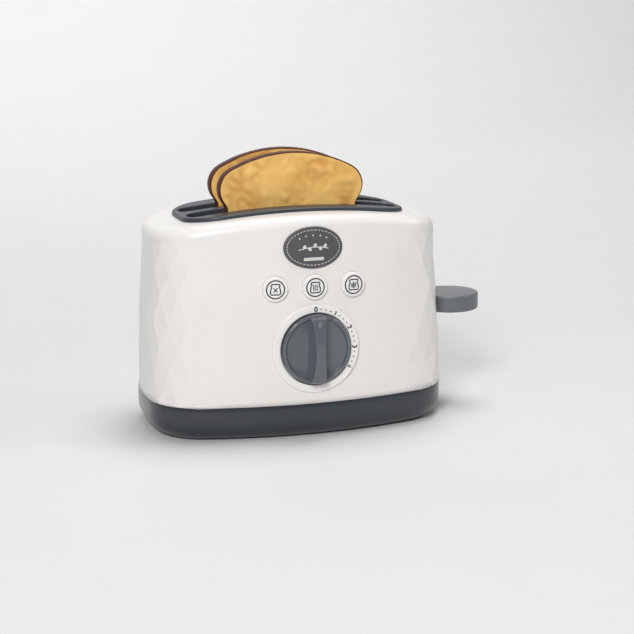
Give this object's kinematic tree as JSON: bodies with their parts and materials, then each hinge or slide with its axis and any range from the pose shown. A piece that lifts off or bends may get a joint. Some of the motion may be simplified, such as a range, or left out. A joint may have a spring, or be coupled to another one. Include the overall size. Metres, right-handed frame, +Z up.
{
  "type": "toy toaster",
  "caption": "Pop-up toy toaster with a faceted light shell on a dark base, side lever with sprung lift, wind-up dial, press buttons and loose toy bread slices.",
  "frame": {"origin": "on the table, on the base's flat underside, below the middle of the body", "axes": "+X towards the lever's end, -Y out of the dial front, +Z up"},
  "size_m": [0.2265, 0.1295, 0.173],
  "materials": {
    "shell_white": "warm off-white moulded ABS, satin gloss",
    "slate_gloss": "dark slate moulded ABS, glossy",
    "badge_print": "printed dark grey plate with pale stitch line",
    "lever_grey": "mid grey moulded plastic, satin",
    "inner_plastic": "unpainted inner moulding",
    "spring_steel": "bright zinc-plated steel",
    "timer_brass": "brass-coloured wheels",
    "bread_plastic": "golden toast-coloured plastic with brown crust"
  },
  "bodies": {
    "body": {"body_shell": "shell_white", "base": "slate_gloss", "slot_tray": "slate_gloss", "badge": "badge_print", "frame_front": "inner_plastic", "frame_rear": "inner_plastic", "frame_divider": "inner_plastic", "frame_end_left": "inner_plastic", "frame_end_right": "inner_plastic", "guide_rods": "spring_steel", "latch_pin": "spring_steel", "timer_case": "inner_plastic", "timer_cover": "inner_plastic", "timer_mainspring": "spring_steel", "button_guide": "inner_plastic", "case_screws": "spring_steel", "frame_screws": "spring_steel", "guide_screws": "spring_steel", "lift_springs": "spring_steel", "button_spring_left": "spring_steel", "button_spring_middle": "spring_steel", "button_spring_right": "spring_steel"},
    "lift": {"carriage": "inner_plastic", "cradle_front": "inner_plastic", "cradle_rear": "inner_plastic", "lever_paddle": "lever_grey", "lever_screw": "spring_steel"},
    "latch": {"latch_crank": "inner_plastic"},
    "dial": {"knob": "slate_gloss", "timer_spindle": "timer_brass"},
    "middle_arbor": {"timer_middle_wheel": "timer_brass"},
    "fan_arbor": {"timer_fan_wheel": "timer_brass"},
    "left_button": {"button_left": "shell_white"},
    "middle_button": {"button_middle": "shell_white"},
    "right_button": {"button_right": "shell_white"},
    "front_bread": {"bread_slice_front": "bread_plastic"},
    "rear_bread": {"bread_slice_rear": "bread_plastic"}
  },
  "joints": [
    {"name": "lift_slide", "type": "slide", "parent": "body", "child": "lift", "axis": [0, 0, -1], "range_m": [0, 0.033], "stiffness_N_per_m": 45, "springref_m": -0.05, "deforming": ["lift_springs"]},
    {"name": "front_bread_lift_out", "type": "slide", "parent": "lift", "child": "front_bread", "axis": [0, 0, 1], "range_m": [0, 0.055]},
    {"name": "rear_bread_lift_out", "type": "slide", "parent": "lift", "child": "rear_bread", "axis": [0, 0, 1], "range_m": [0, 0.055]},
    {"name": "dial_turn", "type": "hinge", "parent": "body", "child": "dial", "pos_m": [0, -0.05821, 0.05651], "axis": [0, 1, 0], "range_deg": [0, 120]},
    {"name": "middle_arbor_turn", "type": "hinge", "parent": "body", "child": "middle_arbor", "pos_m": [0.019, -0.038, 0.05651], "axis": [0, 1, 0], "range_deg": [-384, 0]},
    {"name": "fan_arbor_turn", "type": "hinge", "parent": "body", "child": "fan_arbor", "pos_m": [0.0308, -0.038, 0.04661], "axis": [0, 1, 0], "range_deg": [0, 549]},
    {"name": "latch_swing", "type": "hinge", "parent": "body", "child": "latch", "pos_m": [0.068, -0.0268, 0.017], "axis": [0, 1, 0], "range_deg": [0, 8]},
    {"name": "left_button_press", "type": "slide", "parent": "body", "child": "left_button", "axis": [0.098, 0.9952, 0], "range_m": [0, 0.002], "stiffness_N_per_m": 300, "springref_m": -0.002},
    {"name": "middle_button_press", "type": "slide", "parent": "body", "child": "middle_button", "axis": [0, 1, 0], "range_m": [0, 0.002], "stiffness_N_per_m": 300, "springref_m": -0.002},
    {"name": "right_button_press", "type": "slide", "parent": "body", "child": "right_button", "axis": [-0.098, 0.9952, 0], "range_m": [0, 0.002], "stiffness_N_per_m": 300, "springref_m": -0.002}
  ],
  "couplings": [
    {"joint": "middle_arbor_turn", "follows": "dial_turn", "ratio": -3.2},
    {"joint": "fan_arbor_turn", "follows": "dial_turn", "ratio": 4.5714},
    {"joint": "latch_swing", "follows": "dial_turn", "ratio": 0.066667}
  ]
}
